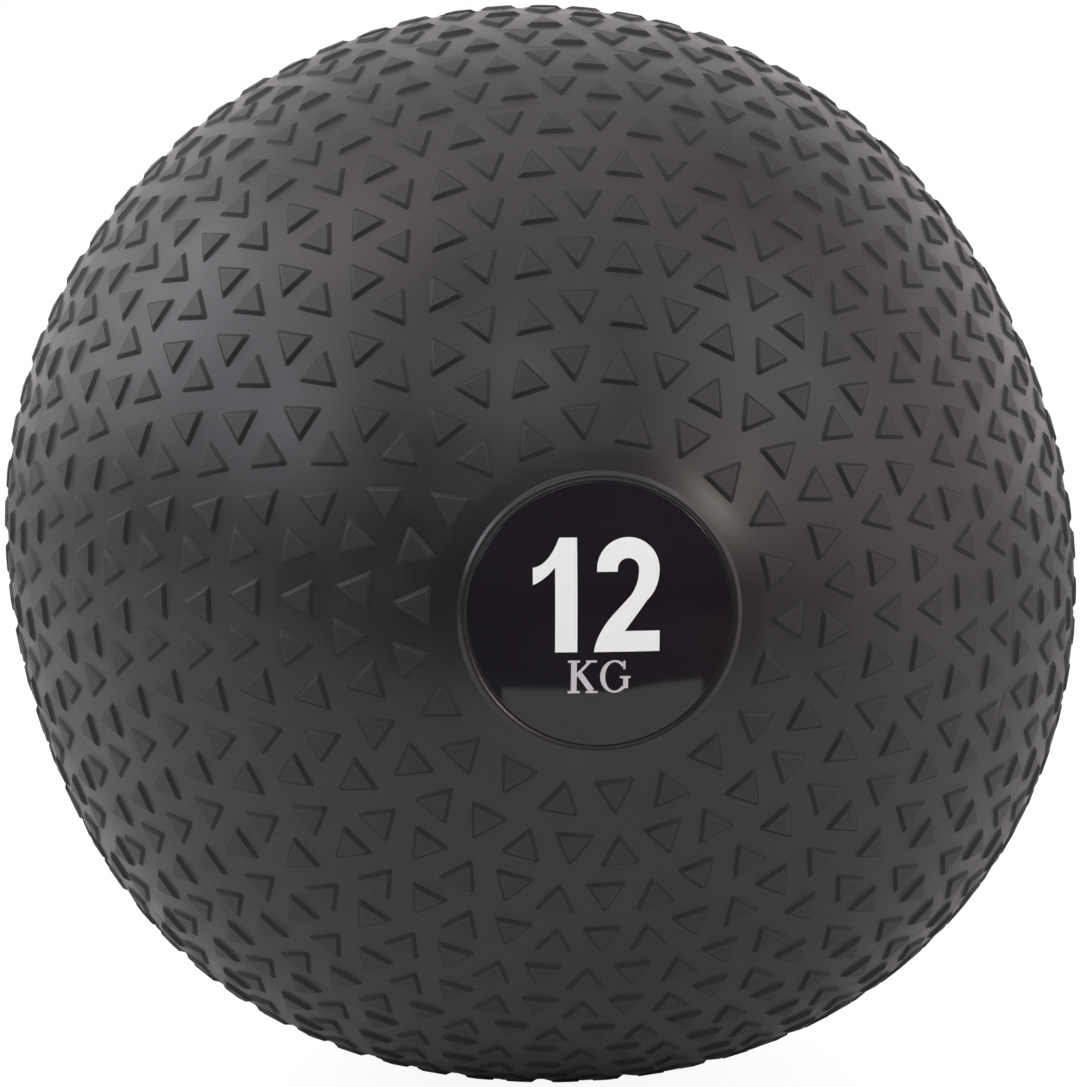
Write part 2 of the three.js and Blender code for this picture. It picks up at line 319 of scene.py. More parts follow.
def recess_profile(start):
    """Floor, side wall and bead of a recess and the smooth margin, as (distance, height) points."""
    profile = [(d, sphere_height(RECESS_FLOOR, d)) for d in (start, (start + RECESS_RADIUS) / 2)]
    profile.append((RECESS_RADIUS, sphere_height(RECESS_FLOOR, RECESS_RADIUS)))
    profile.append((RECESS_RADIUS, sphere_height(BASE_RADIUS, RECESS_RADIUS) - LIP_FOOT))
    for i in range(LIP_STEPS + 1):
        distance = RECESS_RADIUS + LIP_WIDTH * i / LIP_STEPS
        rise = LIP_HEIGHT * math.sin(math.pi * i / LIP_STEPS) ** LIP_SHAPE
        profile.append((distance, sphere_height(BASE_RADIUS, distance) + rise))
    margin_end = BASE_RADIUS * math.sin(FIRST_ROW - MARGIN_SHARE * ROW_PITCH)
    for i in range(MARGIN_BANDS):
        distance = LIP_RADIUS + (margin_end - LIP_RADIUS) * (i + 1) / MARGIN_BANDS
        profile.append((distance, sphere_height(BASE_RADIUS, distance)))
    return profile


def half_shell(net, side, start):
    """One half of the outer face. Returns the recess's first ring and the ring beside the equator."""
    rings = lathe_rings(net, recess_profile(start), side)
    last = rings[-1]
    start_of_tread = len(net.faces) - MARGIN_BANDS * SEGMENTS
    for row in range(len(ROW_PAIRS)):
        inner, outer = tread_row(net, side, row)
        net.bridge(last, inner)
        last = outer
    net.tread += range(start_of_tread, len(net.faces))
    return rings[0], last


def cavity_profile():
    """The plug's seat, the port and the inner wall round to the front."""
    seat_radius = PLUG_HEAD_RADIUS + FIT_GAP
    seat_height = sphere_height(RECESS_FLOOR, seat_radius) - PLUG_HEAD_THICKNESS - FIT_GAP
    profile = [(seat_radius, seat_height), (PORT_RADIUS, seat_height)]
    port_angle = math.asin(PORT_RADIUS / CAVITY_RADIUS)
    for i in range(CAVITY_STEPS):
        angle = port_angle + (math.pi - port_angle) * i / CAVITY_STEPS
        profile.append((CAVITY_RADIUS * math.sin(angle), CAVITY_RADIUS * math.cos(angle)))
    return profile


def shell_net():
    """The whole shell with flat pads: both halves, the floor of the front recess and the cavity."""
    net = Net()
    floor, front_edge = half_shell(net, -1, FLOOR_START)
    net.cap(floor, RECESS_FLOOR, 0)
    seat, rear_edge = half_shell(net, 1, PLUG_HEAD_RADIUS + FIT_GAP)
    net.bridge(front_edge, rear_edge)
    inside = lathe_rings(net, cavity_profile(), 1)
    quads(net, seat, inside[0])
    net.cap(inside[-1], CAVITY_RADIUS, 0)
    return net


# ---------------------------------------------------------------- raised pads

def tread_tree(material):
    """Raises every face marked as a pad: a sloping wall, a rounded edge and a flat top on the ball."""
    tree = bpy.data.node_groups.new("raised_pads", "GeometryNodeTree")
    tree.interface.new_socket("Geometry", in_out="INPUT", socket_type="NodeSocketGeometry")
    tree.interface.new_socket("Geometry", in_out="OUTPUT", socket_type="NodeSocketGeometry")
    sizes = {"Strip radius": STRIP_RADIUS, "Pad height": PAD_HEIGHT, "Wall run": WALL_RUN,
             "Edge round": EDGE_ROUND, "Pad inner radius": pad_inner_radius()}
    for name, size in sizes.items():
        socket = tree.interface.new_socket(name, in_out="INPUT", socket_type="NodeSocketFloat")
        socket.default_value = size
    given = add(tree, "NodeGroupInput").outputs

    marked = add(tree, "GeometryNodeInputNamedAttribute", {"data_type": "BOOLEAN"}, {"Name": "pad"})
    direction = add(tree, "ShaderNodeVectorMath", {"operation": "NORMALIZE"},
                    {0: add(tree, "GeometryNodeInputPosition").outputs[0]}).outputs[0]
    geometry, top = given["Geometry"], marked.outputs["Attribute"]
    left = given["Pad inner radius"]
    # Foot to top. Each stage ends so many edge rounds in from the wall and so many down from the top; it
    # is on the rubbed edge, which also carries a painted highlight, or not, and it is part of the wall or lies
    # flat.
    stages = [(0.0, 1.0, 0.0, True), (0.45, 0.35, 1.0, True), (1.3, 0.0, 1.0, True), (2.8, 0.0, 0.0, False)]
    for rounds_in, rounds_down, rubbed_highlit_stage, sloping in stages:
        inset = add(tree, "ShaderNodeMath", {"operation": "MULTIPLY_ADD"},
                    {0: given["Edge round"], 1: rounds_in, 2: given["Wall run"]}).outputs[0]
        remaining = add(tree, "ShaderNodeMath", {"operation": "SUBTRACT"},
                        {0: given["Pad inner radius"], 1: inset}).outputs[0]
        share = add(tree, "ShaderNodeMath", {"operation": "DIVIDE"}, {0: remaining, 1: left}).outputs[0]
        left = remaining
        drop = add(tree, "ShaderNodeMath", {"operation": "MULTIPLY"},
                   {0: given["Edge round"], 1: rounds_down}).outputs[0]
        height = add(tree, "ShaderNodeMath", {"operation": "SUBTRACT"},
                     {0: given["Pad height"], 1: drop}).outputs[0]
        radius = add(tree, "ShaderNodeMath", {"operation": "ADD"},
                     {0: given["Strip radius"], 1: height}).outputs[0]
        extruded = add(tree, "GeometryNodeExtrudeMesh", {"mode": "FACES"},
                       {"Mesh": geometry, "Selection": top, "Offset Scale": 0.0, "Individual": True})
        top = extruded.outputs["Top"]
        scaled = add(tree, "GeometryNodeScaleElements", {"domain": "FACE"},
                     {"Geometry": extruded.outputs["Mesh"], "Selection": top, "Scale": share})
        place = add(tree, "ShaderNodeVectorMath", {"operation": "SCALE"},
                    {0: direction, "Scale": radius}).outputs[0]
        moved = add(tree, "GeometryNodeSetPosition", None,
                    {"Geometry": scaled.outputs[0], "Selection": top, "Position": place})
        # marks the rubbed edge, where the shell's material adds both wear and a faint painted highlight
        rubbed_highlit = add(tree, "GeometryNodeStoreNamedAttribute", {"data_type": "FLOAT", "domain": "POINT"},
                   {"Geometry": moved.outputs[0], "Selection": top, "Name": "rubbed_highlit_edge",
                    "Value": rubbed_highlit_stage})
        geometry = rubbed_highlit.outputs[0]
        if sloping:
            wall = add(tree, "GeometryNodeStoreNamedAttribute", {"data_type": "FLOAT", "domain": "FACE"},
                       {"Geometry": geometry, "Selection": extruded.outputs["Side"], "Name": "wall",
                        "Value": 1.0})
            geometry = wall.outputs[0]
    topped = add(tree, "GeometryNodeStoreNamedAttribute", {"data_type": "FLOAT", "domain": "POINT"},
                 {"Geometry": geometry, "Selection": top, "Name": "pad_top", "Value": 1.0})
    smooth = add(tree, "GeometryNodeSetShadeSmooth", None, {"Geometry": topped.outputs[0]})
    real = add(tree, "GeometryNodeRealizeInstances", None, {"Geometry": smooth.outputs[0]})
    painted = add(tree, "GeometryNodeSetMaterial", None, {"Geometry": real.outputs[0], "Material": material})
    add(tree, "NodeGroupOutput", None, {0: painted.outputs[0]})
    return tree, sizes


def pad_inner_radius():
    """Radius of the circle that touches all three sides of a pad."""
    side = math.hypot(PAD_BASE / 2, PAD_LENGTH)
    return PAD_BASE * PAD_LENGTH / (PAD_BASE + 2 * side)


def shell(material):
    """The moulded shell: the net, its pads raised, and the whole brought a little out of round."""
    net = shell_net()
    made = object_of("shell", net.points, net.faces)
    face_outwards(made.data)
    marks = made.data.attributes.new("pad", "BOOLEAN", "FACE")
    for face in net.pads:
        marks.data[face].value = True
    round_faces = made.data.attributes.new("tread", "BOOLEAN", "FACE")
    for face in net.tread:
        round_faces.data[face].value = True
    tree, sizes = tread_tree(material)
    modifier = made.modifiers.new("raised_pads", "NODES")
    modifier.node_group = tree
    for item in tree.interface.items_tree:
        if item.in_out == "INPUT" and item.name in sizes:
            modifier[item.identifier] = sizes[item.name]
    mesh = plain_mesh(made)
    crease(mesh)
    round_normals(mesh)
    settle(mesh)
    return made


def bulge(turn):
    """Height of the ball's surface over a true sphere at this turn of the equator."""
    height = 0.0
    for middle, rise, width in BULGES:
        apart = (math.degrees(turn) - middle + 180) % 360 - 180
        height += rise * math.exp(-(apart / width) ** 2 / 2)
    return height


def settle(mesh):
    """Brings the outer face a little out of round, as the loose fill leaves it."""
    middle_of_wall = CAVITY_RADIUS + SHELL_WALL / 2
    for vertex in mesh.vertices:
        place = vertex.co
        radius = place.length
        if radius > middle_of_wall:
            angle = math.asin(min(1, math.hypot(place.x, place.z) / radius))
            share = min(1, max(0, (angle - BULGE_START) / (BULGE_FULL - BULGE_START)))
            share = share * share * (3 - 2 * share)
            vertex.co = place * (1 + share * bulge(math.atan2(place.z, place.x)) / radius)
    mesh.update()


def round_normals(mesh):
    """Strips and pad tops take the ball's own normals, so their small flat faces shade as one round
    surface; the walls and the turned parts keep the normals of their faces."""
    walls = [v.value for v in mesh.attributes["wall"].data]
    tread = [v.value for v in mesh.attributes["tread"].data]
    normals = [Vector()] * len(mesh.loops)
    for face in mesh.polygons:
        if tread[face.index] and not walls[face.index]:
            for loop in face.loop_indices:
                normals[loop] = mesh.vertices[mesh.loops[loop].vertex_index].co.normalized()
    mesh.normals_split_custom_set(normals)


def crease(mesh):
    """Sharp edges at the foot of each pad and at the turned corners of the recesses."""
    shape = bmesh.new()
    shape.from_mesh(mesh)
    wall = shape.faces.layers.float.get("wall")
    corner = math.radians(50)
    for edge in shape.edges:
        one, other = edge.link_faces
        foot = one[wall] != other[wall]
        foot = foot and max(v.co.length for v in edge.verts) < STRIP_RADIUS + PAD_HEIGHT / 4
        plain = one[wall] == 0 and other[wall] == 0
        edge.smooth = not foot and not (plain and edge.calc_face_angle() > corner)
    shape.to_mesh(mesh)
    shape.free()


# ---------------------------------------------------------------- turned pieces

def turned(name, profile, side, material, segments=128):
    """A body of revolution about the pole axis; the profile starts and ends on the axis."""
    points, faces = [], []
    rows = []
    for distance, height in profile:
        if distance == 0:
            points.append((0, side * height, 0))
            rows.append([len(points) - 1] * segments)
            continue
        row = []
        for turn in even_turns(segments):
            points.append((distance * math.cos(turn), side * height, distance * math.sin(turn)))
            row.append(len(points) - 1)
        rows.append(row)
    for first, second in zip(rows, rows[1:]):
        for i in range(segments):
            j = (i + 1) % segments
            corners = [first[i], first[j], second[j], second[i]]
            faces.append(sorted(set(corners), key=corners.index))
    made = object_of(name, points, faces)
    face_outwards(made.data)
    made.data.shade_smooth()
    made.data.set_sharp_from_angle(angle=math.radians(40))
    made.data.materials.append(material)
    return made


def disc_profile():
    """A domed disc of one thickness, with a rounded rim."""
    rim = 0.3 * MM
    slack = 0.05 * MM
    edge = RECESS_RADIUS - slack
    flat = edge - rim
    rings = 14
    profile = [(flat * i / rings, sphere_height(BASE_RADIUS, flat * i / rings)) for i in range(rings + 1)]
    centre = sphere_height(BASE_RADIUS, flat) - rim
    steps = 6
    for i in range(1, steps + 1):
        angle = math.pi / 2 * (1 - i / steps)
        profile.append((flat + rim * math.cos(angle), centre + rim * math.sin(angle)))
    back = BASE_RADIUS - DISC_THICKNESS
    for i in range(rings, -1, -1):
        distance = edge * i / rings
        profile.append((distance, sphere_height(back, distance)))
    return profile


def plug_profile():
    """A push-in plug: a headed stem with three sealing ribs and a tapered end."""
    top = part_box("filler_plug")[1].y
    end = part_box("filler_plug")[0].y
    under = top - PLUG_HEAD_THICKNESS + FIT_GAP
    stem = PORT_RADIUS - 1.2 * MM
    taper = 0.8 * MM
    rib = PORT_RADIUS - FIT_GAP
    ribs = 3
    rib_foot, rib_crest = 0.5 * MM, 0.15 * MM       # half widths
    profile = [(0, end), (stem - taper, end), (stem, end + taper)]
    pitch = (under - end) / (ribs + 1)
    for i in range(ribs):
        middle = end + pitch * (i + 1)
        profile += [(stem, middle - rib_foot), (rib, middle - rib_crest), (rib, middle + rib_crest),
                    (stem, middle + rib_foot)]
    head = PLUG_HEAD_RADIUS
    chamfer, crown, crown_knee = 0.4 * MM, 0.6 * MM, 0.2 * MM
    profile += [(stem, under), (head - chamfer, under), (head, under + chamfer), (head, top - crown),
                (head - crown_knee, top - crown_knee), (head - crown, top)]
    dimple, dimple_floor, dimple_depth = 5 * MM, 4.4 * MM, 0.8 * MM
    profile += [(dimple, top), (dimple_floor, top - dimple_depth), (0, top - dimple_depth)]
    return profile


def sand(material):
    """The loose fill: a bowl of sand whose top has settled in low heaps."""
    low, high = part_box("sand_fill")
    radius = high.x
    level = high.z
    heap_height, heap_fade = 1.6 * MM, 8 * MM       # the heaps fade out this near to the wall
    along, over, ripple = 52, 43, 91                # radians to the metre
    start = 1.1                                     # where in a heap the middle lies, in radians
    mean_drop = 1.2                                 # in heap heights, under the level
    segments, rings = 96, 40
    level_angle = math.acos(level / radius)
    points, faces, rows = [(0, 0, -radius)], [], []
    for i in range(1, rings + 1):
        angle = math.pi - (math.pi - level_angle) * i / rings
        row = []
        for turn in even_turns(segments):
            across = radius * math.sin(angle)
            points.append((across * math.cos(turn), across * math.sin(turn), radius * math.cos(angle)))
            row.append(len(points) - 1)
        rows.append(row)
    edge = radius * math.sin(level_angle)
    for i in range(1, rings):
        distance = edge * (1 - i / rings)
        row = []
        for turn in even_turns(segments):
            x, y = distance * math.cos(turn), distance * math.sin(turn)
            heap = math.sin(along * x + start) * math.cos(over * y) + math.sin(ripple * (x - y)) / 2
            drop = heap_height * (mean_drop + heap) * min(1, (edge - distance) / heap_fade)
            points.append((x, y, level - drop))
            row.append(len(points) - 1)
        rows.append(row)
    points.append((0, 0, level - heap_height * (mean_drop + math.sin(start))))
    for first, second in zip(rows, rows[1:]):
        for i in range(segments):
            j = (i + 1) % segments
            faces.append((first[i], first[j], second[j], second[i]))
    for i in range(segments):
        j = (i + 1) % segments
        faces.append((rows[0][j], rows[0][i], 0))
        faces.append((rows[-1][i], rows[-1][j], len(points) - 1))
    made = object_of("sand", points, faces)
    face_outwards(made.data)
    made.data.shade_smooth()
    made.data.set_sharp_from_angle(angle=math.radians(50))
    made.data.materials.append(material)
    return made


# ---------------------------------------------------------------- print

def curve_to(start, control, end, steps=10):
    """Points of a quadratic curve after its start, its end included."""
    points = []
    for i in range(1, steps + 1):
        t = i / steps
        a, b, c = (1 - t) ** 2, 2 * t * (1 - t), t * t
        points.append(tuple(a * s + b * k + c * e for s, k, e in zip(start, control, end)))
    return points


def arc(centre, radius_x, radius_y, start, end, steps):
    """Points of an ellipse's arc, both ends included."""
    points = []
    for i in range(steps + 1):
        angle = start + (end - start) * i / steps
        points.append((centre[0] + radius_x * math.cos(angle), centre[1] + radius_y * math.sin(angle)))
    return points


def bar(x1, y1, x2, y2, width):
    """The four corners of a straight stroke between two points."""
    along = Vector((x2 - x1, y2 - y1)).normalized()
    side = Vector((-along.y, along.x)) * width / 2
    one, two = Vector((x1, y1)), Vector((x2, y2))
    return [tuple(p) for p in (one + side, one - side, two - side, two + side)]


def digit_one(box):
    """Plain bold numeral one: a stem with a curved flag."""
    low, high = box
    tall = high.z - low.z
    stroke = (high.x - low.x) / 2       # the stem and the flag are as wide
    right, bottom, top = high.x, low.z, high.z
    left = right - stroke
    tip = left - stroke
    tip_top = top - 0.26 * tall
    tip_depth = 0.15 * tall
    outline = [(left, bottom), (right, bottom), (right, top), (left + 0.2 * stroke, top)]
    outline += curve_to(outline[-1], (left - 0.3 * stroke, tip_top + 0.4 * MM), (tip, tip_top))
    outline.append((tip, tip_top - tip_depth))
    outline += curve_to(outline[-1], (left - 0.45 * stroke, tip_top - 0.7 * tip_depth),
                        (left, tip_top + 0.1 * MM))
    return [outline]


def digit_two(box):
    """Plain bold numeral two: a round bowl, a sloping neck and a flat foot."""
    low, high = box
    tall = high.z - low.z
    stroke = 0.181 * tall
    bowl = 0.275 * tall
    bottom, top = low.z, high.z
    centre_x = high.x - bowl
    centre_y = top - bowl
    eye = bowl - stroke
    foot_top = bottom + stroke
    hook_end = centre_y - 0.6 * MM
    centre = (centre_x, centre_y)
    outline = [(centre_x - bowl, hook_end)]
    outline += arc(centre, bowl, bowl, math.pi, 0, 24)
    outline += curve_to(outline[-1], (centre_x + bowl, centre_y - 0.62 * bowl),
                        (centre_x + 0.6 * bowl, centre_y - bowl))
    outline += [(centre_x - 0.12 * bowl, foot_top), (centre_x + bowl, foot_top), (centre_x + bowl, bottom),
                (centre_x - 1.1 * bowl, bottom)]
    outline += curve_to(outline[-1], (centre_x - 1.02 * bowl, foot_top - 0.5 * MM),
                        (centre_x - 0.5 * bowl, foot_top + 0.52 * bowl))
    outline.append((centre_x + 0.06 * bowl, centre_y - 0.86 * bowl))
    outline += curve_to(outline[-1], (centre_x + eye, centre_y - 0.5 * bowl), (centre_x + eye, centre_y))
    outline += arc(centre, eye, eye, 0, math.pi, 16)[1:]
    outline.append((centre_x - eye, hook_end))
    return [outline]


def letter_k(box):
    """K with short flat serifs: thick stem and leg, thin arm."""
    low, high = box
    left, bottom, top = low.x, low.z, high.z
    tall = top - bottom
    thick, serif, half = 0.17 * tall, 0.36 * tall, HAIRLINE / 2
    stem = left + serif / 2
    far = left + 0.72 * tall
    waist = bottom + 0.47 * tall
    arm = far - 0.4 * MM
    fork_x = stem + 0.3 * (arm - stem)
    fork_y = waist + 0.3 * (top - half - waist)
    return [
        bar(stem, bottom, stem, top, thick),
        bar(stem - serif / 2, top - half, stem + serif / 2, top - half, HAIRLINE),
        bar(stem - serif / 2, bottom + half, stem + serif / 2, bottom + half, HAIRLINE),
        bar(stem, waist, arm, top - half, HAIRLINE * 1.2),
        bar(far - serif / 2, top - half, far + serif / 2 - 0.3 * MM, top - half, HAIRLINE),
        bar(fork_x, fork_y, far, bottom + HAIRLINE, thick),
        bar(far - serif / 2, bottom + half, far + serif / 2, bottom + half, HAIRLINE),
    ]


def letter_g(box):
    """G: an open ring, thick at its left side, with a short post and flat serifs."""
    low, high = box
    left, bottom, top = low.x, low.z, high.z
    tall = top - bottom
    outer_x, outer_y = 0.44 * tall, tall / 2
    inner_x, inner_y = outer_x - 0.15 * tall, outer_y - HAIRLINE * 0.9
    centre = (left + outer_x, bottom + outer_y)
    opening = math.pi / 4.2             # half of the gap on the right
    ring = arc(centre, outer_x, outer_y, opening, 2 * math.pi - opening, 40)
    ring += arc(centre, inner_x, inner_y, 2 * math.pi - opening, opening, 40)
    post = 0.15 * tall
    post_x = centre[0] + outer_x * 0.76
    post_top = centre[1] - 0.2 * MM
    tip = centre[0] + outer_x * math.cos(opening) - HAIRLINE / 2
    return [
        ring,
        bar(post_x, bottom + 0.13 * tall, post_x, post_top, post),
        bar(post_x - 1.3 * MM, post_top, post_x + 1.1 * MM, post_top, HAIRLINE),
        bar(tip, centre[1] + 0.22 * tall, tip, top - 0.2 * MM, HAIRLINE),
    ]


def prism(name, outline):
    """A flat outline with some depth along the pole axis, as a closed solid."""
    count = len(outline)
    points = [(x, y, z) for y in (-MM, MM) for x, z in outline]
    faces = [tuple(range(count)), tuple(reversed(range(count, 2 * count)))]
    for i in range(count):
        j = (i + 1) % count
        faces.append((j, i, i + count, j + count))
    made = object_of(name, points, faces)
    face_outwards(made.data)
    return made


def inked(name, outlines, material):
    """Print laid on the dome of the front disc."""
    made = prism(name, outlines[0])
    others = [prism(name + "_part", outline) for outline in outlines[1:]]
    for other in others:
        union = made.modifiers.new("union", "BOOLEAN")
        union.operation = "UNION"
        union.solver = "EXACT"
        union.object = other
    plain_mesh(made)
    for other in others:
        bpy.data.objects.remove(other)
    shape = bmesh.new()
    shape.from_mesh(made.data)
    grid = 1.5 * MM                     # cuts that let the flat faces follow the dome
    offset = 0.37                       # of the grid, keeps the cuts off the strokes' straight edges
    reach = int(DISC_RADIUS / grid)
    for axis in (Vector((1, 0, 0)), Vector((0, 0, 1))):
        for i in range(-reach, reach + 1):
            everything = shape.verts[:] + shape.edges[:] + shape.faces[:]
            bmesh.ops.bisect_plane(shape, geom=everything, plane_co=axis * (i + offset) * grid, plane_no=axis)
    for vertex in shape.verts:
        level = INK_HEIGHT if vertex.co.y < 0 else -INK_DEPTH
        distance = math.hypot(vertex.co.x, vertex.co.z)
        vertex.co.y = -sphere_height(BASE_RADIUS + level, distance)
    bmesh.ops.recalc_face_normals(shape, faces=shape.faces)
    shape.to_mesh(made.data)
    shape.free()
    made.data.materials.append(material)
    return made


# ---------------------------------------------------------------- materials

def material_of(name):
    """A new material with its node tree and its surface node."""
    material = bpy.data.materials.new(name)
    material.use_nodes = True
    tree = material.node_tree
    return material, tree, tree.nodes["Principled BSDF"]


def moulded_pvc():
    """Plasticised PVC from a steel mould: the strips come out nearly smooth and satin, smoother still
    beside the discs, the pads duller from the mould's etched cells. The pads' walls carry painted shade, drawn
    much darker than the strips, and their edges are rubbed a little and carry a faint painted highlight. Real
    grit of about 0.2 mm is drawn coarser, so that it shows."""
    cloud = 33.3 * MM
    grit = 0.714 * MM
    margin_end, satin_start = LIP_RADIUS + 3 * MM, LIP_RADIUS + 8 * MM
    material, tree, surface = material_of("moulded_soft_pvc")
    place = add(tree, "ShaderNodeTexCoord").outputs["Object"]
    top = add(tree, "ShaderNodeAttribute", {"attribute_name": "pad_top"}).outputs["Fac"]
    rubbed_highlit = add(tree, "ShaderNodeAttribute", {"attribute_name": "rubbed_highlit_edge"}).outputs["Fac"]
    clouds = add(tree, "ShaderNodeTexNoise", None,
                 {"Vector": place, "Scale": 1 / cloud, "Detail": 6.0, "Roughness": 0.62}).outputs["Fac"]
    grain = add(tree, "ShaderNodeTexNoise", None,
                {"Vector": place, "Scale": 1 / grit, "Detail": 3.0, "Roughness": 0.6}).outputs["Fac"]
    haze = add(tree, "ShaderNodeMapRange", None,
               {"Value": clouds, "From Min": 0.3, "From Max": 0.7, "To Min": 0.0, "To Max": 1.0})
    base = add(tree, "ShaderNodeMix", {"data_type": "RGBA"},
               {0: haze.outputs[0], 6: linear("#1b181c"), 7: linear("#272428")}).outputs[2]
    dulled = add(tree, "ShaderNodeMix", {"data_type": "RGBA"},
                 {0: top, 6: base, 7: linear("#1f1c1e")}).outputs[2]
    # rubbed edges: partly wear, partly a painted highlight, lightened a little towards #4a494b for the bright
    # lines along the pads' rims
    painted_edge_highlight = add(tree, "ShaderNodeMath", {"operation": "MULTIPLY"}, {0: rubbed_highlit, 1: 0.03}).outputs[0]
    colour = add(tree, "ShaderNodeMix", {"data_type": "RGBA"},
                 {0: painted_edge_highlight, 6: dulled, 7: linear("#4a494b")}).outputs[2]
    wall = add(tree, "ShaderNodeAttribute", {"attribute_name": "wall"}).outputs["Fac"]
    # painted shade: the pads' walls, less their rubbed edges, are drawn near black (#0b0a0b) for the shade that
    # falls on them
    wall_with_painted_shade = add(tree, "ShaderNodeMath", {"operation": "SUBTRACT", "use_clamp": True},
                {0: wall, 1: rubbed_highlit}).outputs[0]
    wall_shade_painted = add(tree, "ShaderNodeMix", {"data_type": "RGBA"},
                 {0: wall_with_painted_shade, 6: colour, 7: linear("#0b0a0b")}).outputs[2]
    tree.links.new(wall_shade_painted, surface.inputs["Base Color"])
    smooth = add(tree, "ShaderNodeMapRange", None,
                 {"Value": clouds, "From Min": 0.3, "From Max": 0.7, "To Min": 0.34, "To Max": 0.49})
    parts = add(tree, "ShaderNodeSeparateXYZ", None, {0: place}).outputs
    across = add(tree, "ShaderNodeCombineXYZ", None, {"X": parts["X"], "Z": parts["Z"]}).outputs[0]
    distance = add(tree, "ShaderNodeVectorMath", {"operation": "LENGTH"}, {0: across}).outputs["Value"]
    off_margin = add(tree, "ShaderNodeMapRange", {"interpolation_type": "SMOOTHSTEP"},
                     {"Value": distance, "From Min": margin_end, "From Max": satin_start,
                      "To Min": 0.0, "To Max": 1.0}).outputs[0]
    strips = add(tree, "ShaderNodeMix", {"data_type": "FLOAT"},
                 {0: off_margin, 2: 0.31, 3: smooth.outputs[0]}).outputs[0]
    raised = add(tree, "ShaderNodeMath", {"operation": "MAXIMUM"}, {0: top, 1: rubbed_highlit}).outputs[0]
    tops = add(tree, "ShaderNodeMix", {"data_type": "FLOAT"}, {0: raised, 2: strips, 3: 0.54}).outputs[0]
    rough = add(tree, "ShaderNodeMix", {"data_type": "FLOAT"}, {0: wall_with_painted_shade, 2: tops, 3: 0.63}).outputs[0]
    tree.links.new(rough, surface.inputs["Roughness"])
    bump = add(tree, "ShaderNodeBump", None, {"Height": grain, "Strength": 0.25, "Distance": 0.05 * MM})
    tree.links.new(bump.outputs[0], surface.inputs["Normal"])
    surface.inputs["IOR"].default_value = 1.47
    return material


def gloss_disc():
    """Hard PVC with a polished face: near-black and mirror-like, with a faint orange peel."""
    peel_width = 6.25 * MM
    wipe_width = 22.2 * MM
    material, tree, surface = material_of("polished_hard_pvc")
    place = add(tree, "ShaderNodeTexCoord").outputs["Object"]
    peel = add(tree, "ShaderNodeTexNoise", None,
               {"Vector": place, "Scale": 1 / peel_width, "Detail": 2.0, "Roughness": 0.5}).outputs["Fac"]
    wipes = add(tree, "ShaderNodeTexNoise", None,
                {"Vector": place, "Scale": 1 / wipe_width, "Detail": 5.0, "Roughness": 0.6}).outputs["Fac"]
    tone = add(tree, "ShaderNodeMix", {"data_type": "RGBA"},
               {0: wipes, 6: linear("#19161b"), 7: linear("#221f26")}).outputs[2]
    tree.links.new(tone, surface.inputs["Base Color"])
    rough = add(tree, "ShaderNodeMapRange", None,
                {"Value": wipes, "From Min": 0.35, "From Max": 0.75, "To Min": 0.04, "To Max": 0.12})
    tree.links.new(rough.outputs[0], surface.inputs["Roughness"])
    bump = add(tree, "ShaderNodeBump", None, {"Height": peel, "Strength": 0.12, "Distance": 0.03 * MM})
    tree.links.new(bump.outputs[0], surface.inputs["Normal"])
    surface.inputs["IOR"].default_value = 1.44
    return material


def screen_ink(name, light, dark):
    """Screen-printed vinyl ink: flat and slightly uneven in cover, with the mark of the screen's weave,
    drawn at three times its real 0.1 mm so that it shows."""
    patch = 4.55 * MM
    weave = 0.333 * MM
    material, tree, surface = material_of(name)
    place = add(tree, "ShaderNodeTexCoord").outputs["Object"]
    cover = add(tree, "ShaderNodeTexNoise", None,
                {"Vector": place, "Scale": 1 / patch, "Detail": 4.0, "Roughness": 0.6}).outputs["Fac"]
    tone = add(tree, "ShaderNodeMix", {"data_type": "RGBA"},
               {0: cover, 6: linear(dark), 7: linear(light)}).outputs[2]
    tree.links.new(tone, surface.inputs["Base Color"])
    threads = add(tree, "ShaderNodeTexNoise", None,
                  {"Vector": place, "Scale": 1 / weave, "Detail": 1.0}).outputs["Fac"]
    bump = add(tree, "ShaderNodeBump", None, {"Height": threads, "Strength": 0.1, "Distance": 0.02 * MM})
    tree.links.new(bump.outputs[0], surface.inputs["Normal"])
    surface.inputs["Roughness"].default_value = 0.5
    return material


def plug_rubber():
    """Compression-moulded EPDM: matt charcoal with a faint bloom and a fine grain."""
    bloom_width = 11.1 * MM
    grain_width = 0.4 * MM
    material, tree, surface = material_of("moulded_rubber")
    place = add(tree, "ShaderNodeTexCoord").outputs["Object"]
    bloom = add(tree, "ShaderNodeTexNoise", None,
                {"Vector": place, "Scale": 1 / bloom_width, "Detail": 5.0, "Roughness": 0.65}).outputs["Fac"]
    tone = add(tree, "ShaderNodeMix", {"data_type": "RGBA"},
               {0: bloom, 6: linear("#262627"), 7: linear("#353536")}).outputs[2]
    tree.links.new(tone, surface.inputs["Base Color"])
    grain = add(tree, "ShaderNodeTexNoise", None,
                {"Vector": place, "Scale": 1 / grain_width, "Detail": 2.0}).outputs["Fac"]
    bump = add(tree, "ShaderNodeBump", None, {"Height": grain, "Strength": 0.3, "Distance": 0.04 * MM})
    tree.links.new(bump.outputs[0], surface.inputs["Normal"])
    surface.inputs["Roughness"].default_value = 0.75
    return material


